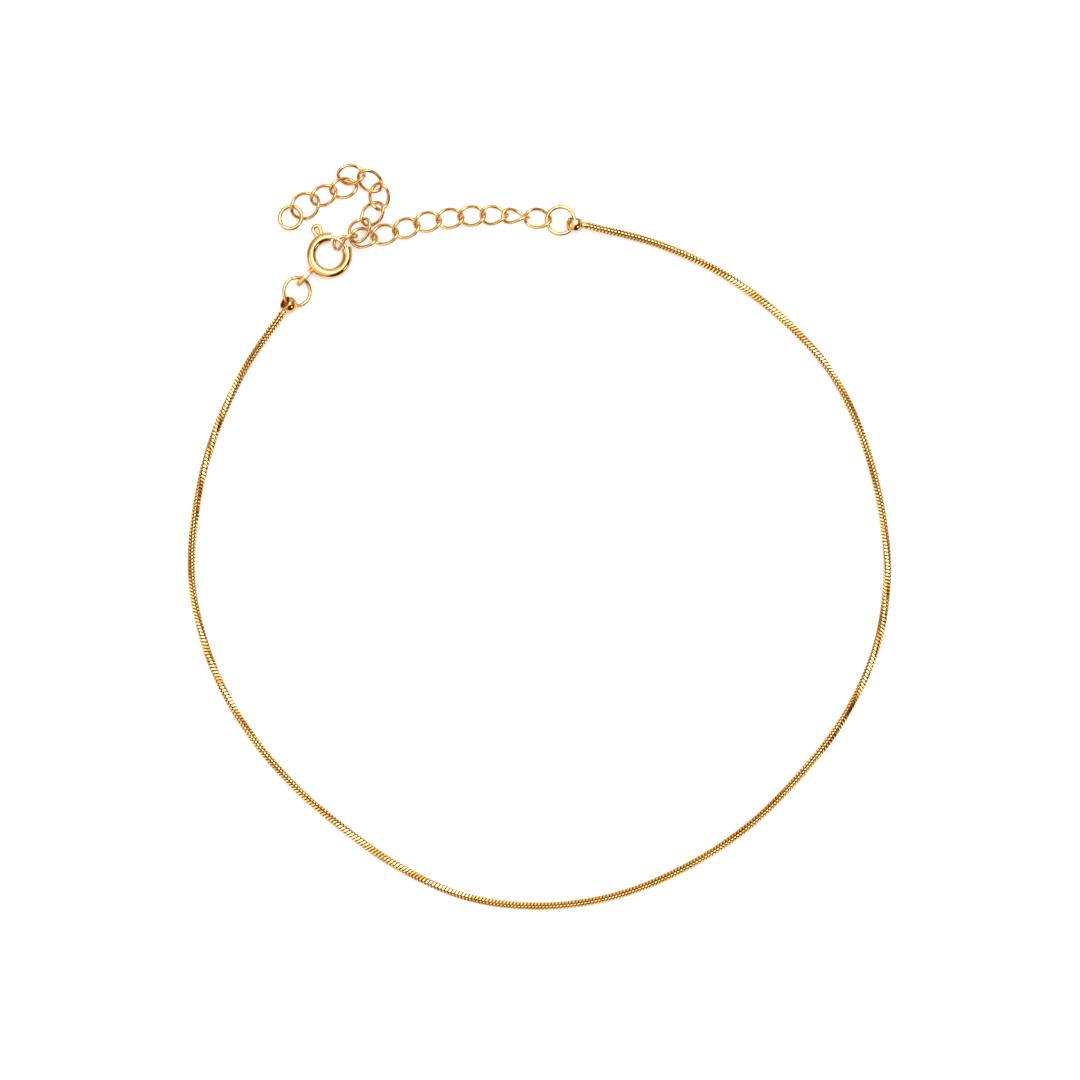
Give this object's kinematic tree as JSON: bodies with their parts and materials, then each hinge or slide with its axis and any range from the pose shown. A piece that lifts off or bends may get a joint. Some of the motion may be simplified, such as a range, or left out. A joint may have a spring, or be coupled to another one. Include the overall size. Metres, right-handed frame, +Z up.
{
  "type": "anklet",
  "caption": "Fine round snake-chain anklet in gold-plated brass, closed by a spring-ring clasp hooked into a curb-link extender; laid flat as an open loop.",
  "frame": {"origin": "the middle of the floor area that the laid-out anklet covers, on the surface it lies on", "axes": "+Z up from the surface, +Y towards the end ring of the extender's free tail (the longer side of the laid-out loop), +X towards the side of the loop away from the clasp"},
  "size_m": [0.0836, 0.0888, 0.0027],
  "materials": {
    "polished_gold": "polished gold plate over brass, mirror bright with fine drawing lines",
    "chain_gold": "polished gold plate over woven brass plates, bright on the ridges and dark in the gaps"
  },
  "bodies": {
    "loop": {"snake_chain": "chain_gold", "end_ring_right": "polished_gold", "jump_ring_right": "polished_gold", "extender_link_01": "polished_gold", "extender_link_02": "polished_gold", "extender_link_03": "polished_gold", "extender_link_04": "polished_gold", "extender_link_05": "polished_gold", "extender_link_06": "polished_gold", "extender_link_07": "polished_gold", "extender_link_08": "polished_gold", "extender_link_09": "polished_gold", "extender_link_10": "polished_gold", "extender_link_11": "polished_gold", "extender_link_12": "polished_gold", "extender_link_13": "polished_gold", "extender_link_14": "polished_gold", "extender_link_15": "polished_gold", "extender_link_16": "polished_gold", "extender_link_17": "polished_gold", "extender_link_18": "polished_gold", "extender_end_ring": "polished_gold", "clasp_ring": "polished_gold", "jump_ring_left": "polished_gold", "end_ring_left": "polished_gold"},
    "bolt": {"clasp_bolt": "polished_gold"}
  },
  "joints": [
    {"name": "clasp_bolt_slide", "type": "hinge", "parent": "loop", "child": "bolt", "pos_m": [-0.02498, 0.03347, 0.00085], "axis": [0, 0, 1], "range_deg": [0, 64], "stiffness_Nm_per_rad": 0.002, "springref_deg": -17.19}
  ]
}
